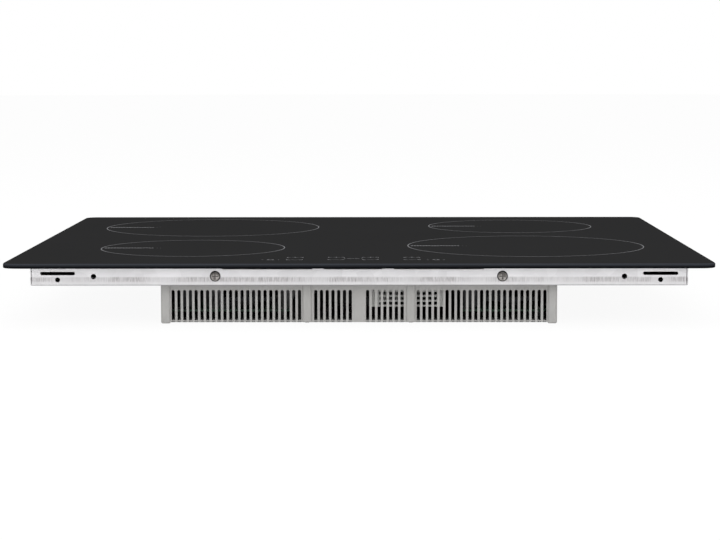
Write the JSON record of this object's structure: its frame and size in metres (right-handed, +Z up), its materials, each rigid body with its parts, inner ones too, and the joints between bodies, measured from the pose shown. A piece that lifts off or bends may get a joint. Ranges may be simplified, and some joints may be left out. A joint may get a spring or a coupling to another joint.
{
  "type": "induction hob",
  "caption": "Built-in induction hob: black glass with printed zones and touch keys, steel tray, sprung coils and a slotted plastic housing with a cooling blower.",
  "frame": {"origin": "bottom centre of the bounding box, under the middle of the glass, at the level of the housing's feet", "axes": "+X to the right along the glass width, +Y to the rear, +Z up through the glass"},
  "size_m": [0.59, 0.52, 0.0536],
  "materials": {
    "black_glass": "opaque black glass-ceramic, smooth satin gloss, ground edge",
    "grey_print": "fired grey print",
    "foam_seal": "matte foam tape",
    "silicone": "matte silicone",
    "zinc_bracket": "bare galvanised sheet",
    "zinc_screw": "dull zinc-plated steel",
    "zinc_tray": "galvanised sheet with fine upright streaks",
    "shield_aluminium": "mill finish",
    "steel_pin": "bright turned steel",
    "white_plastic": "moulded, fine grain",
    "green_board": "circuit board with solder mask",
    "black_rubber": "matte",
    "black_plastic": "moulded, slight gloss",
    "grey_plastic": "moulded light grey, fine grain",
    "sink_aluminium": "extruded, black anodised, fine lines",
    "grey_case": "moulded capacitor case",
    "copper_wire": "enamelled copper wire",
    "blue_case": "moulded relay case",
    "stator_steel": "laminated steel with copper wire",
    "dark_ferrite": "sintered ferrite, matte",
    "cream_plastic": "heat-resistant moulded plastic",
    "mica": "pressed mica sheet",
    "spring_steel": "drawn spring wire"
  },
  "bodies": {
    "chassis": {"glass_plate": "black_glass", "printed_marks": "grey_print", "seal_tape": "foam_seal", "silicone_pads": "silicone", "glass_brackets": "zinc_bracket", "bracket_screws": "zinc_screw", "tray": "zinc_tray", "shield_plate": "shield_aluminium", "shield_screws": "zinc_screw", "guide_pins": "steel_pin", "rear_left_springs": "spring_steel", "front_left_springs": "spring_steel", "rear_right_springs": "spring_steel", "front_right_springs": "spring_steel", "ui_carrier": "white_plastic", "ui_board": "green_board", "touch_pads": "black_rubber", "display_modules": "black_plastic", "housing": "grey_plastic", "housing_screws": "zinc_screw", "left_power_board": "green_board", "right_power_board": "green_board", "filter_board": "green_board", "left_heat_sink": "sink_aluminium", "right_heat_sink": "sink_aluminium", "power_transistors": "black_plastic", "film_capacitors": "grey_case", "filter_choke": "copper_wire", "relays": "blue_case", "terminal_block": "white_plastic", "board_screws": "zinc_screw", "blower_casing": "black_plastic", "blower_cover": "black_plastic", "blower_guard": "grey_plastic", "motor_stator": "stator_steel", "motor_bearings": "steel_pin"},
    "blower_rotor": {"impeller": "white_plastic", "motor_shaft": "steel_pin", "motor_magnet": "dark_ferrite"},
    "rear_left_coil": {"rear_left_carrier": "cream_plastic", "rear_left_winding": "copper_wire", "rear_left_ferrites": "dark_ferrite", "rear_left_mica": "mica", "rear_left_sensor": "white_plastic"},
    "front_left_coil": {"front_left_carrier": "cream_plastic", "front_left_winding": "copper_wire", "front_left_ferrites": "dark_ferrite", "front_left_mica": "mica", "front_left_sensor": "white_plastic"},
    "rear_right_coil": {"rear_right_carrier": "cream_plastic", "rear_right_winding": "copper_wire", "rear_right_ferrites": "dark_ferrite", "rear_right_mica": "mica", "rear_right_sensor": "white_plastic"},
    "front_right_coil": {"front_right_carrier": "cream_plastic", "front_right_winding": "copper_wire", "front_right_ferrites": "dark_ferrite", "front_right_mica": "mica", "front_right_sensor": "white_plastic"}
  },
  "joints": [
    {"name": "blower_spin", "type": "hinge", "parent": "chassis", "child": "blower_rotor", "pos_m": [0.0125, -0.15, 0.0233], "axis": [0, 0, 1], "continuous": true},
    {"name": "rear_left_float", "type": "slide", "parent": "chassis", "child": "rear_left_coil", "axis": [0, 0, 1], "range_m": [-0.0015, 0], "stiffness_N_per_m": 4000, "springref_m": 0.004, "deforming": ["rear_left_springs"]},
    {"name": "front_left_float", "type": "slide", "parent": "chassis", "child": "front_left_coil", "axis": [0, 0, 1], "range_m": [-0.0015, 0], "stiffness_N_per_m": 4000, "springref_m": 0.004, "deforming": ["front_left_springs"]},
    {"name": "rear_right_float", "type": "slide", "parent": "chassis", "child": "rear_right_coil", "axis": [0, 0, 1], "range_m": [-0.0015, 0], "stiffness_N_per_m": 4000, "springref_m": 0.004, "deforming": ["rear_right_springs"]},
    {"name": "front_right_float", "type": "slide", "parent": "chassis", "child": "front_right_coil", "axis": [0, 0, 1], "range_m": [-0.0015, 0], "stiffness_N_per_m": 4000, "springref_m": 0.004, "deforming": ["front_right_springs"]}
  ]
}
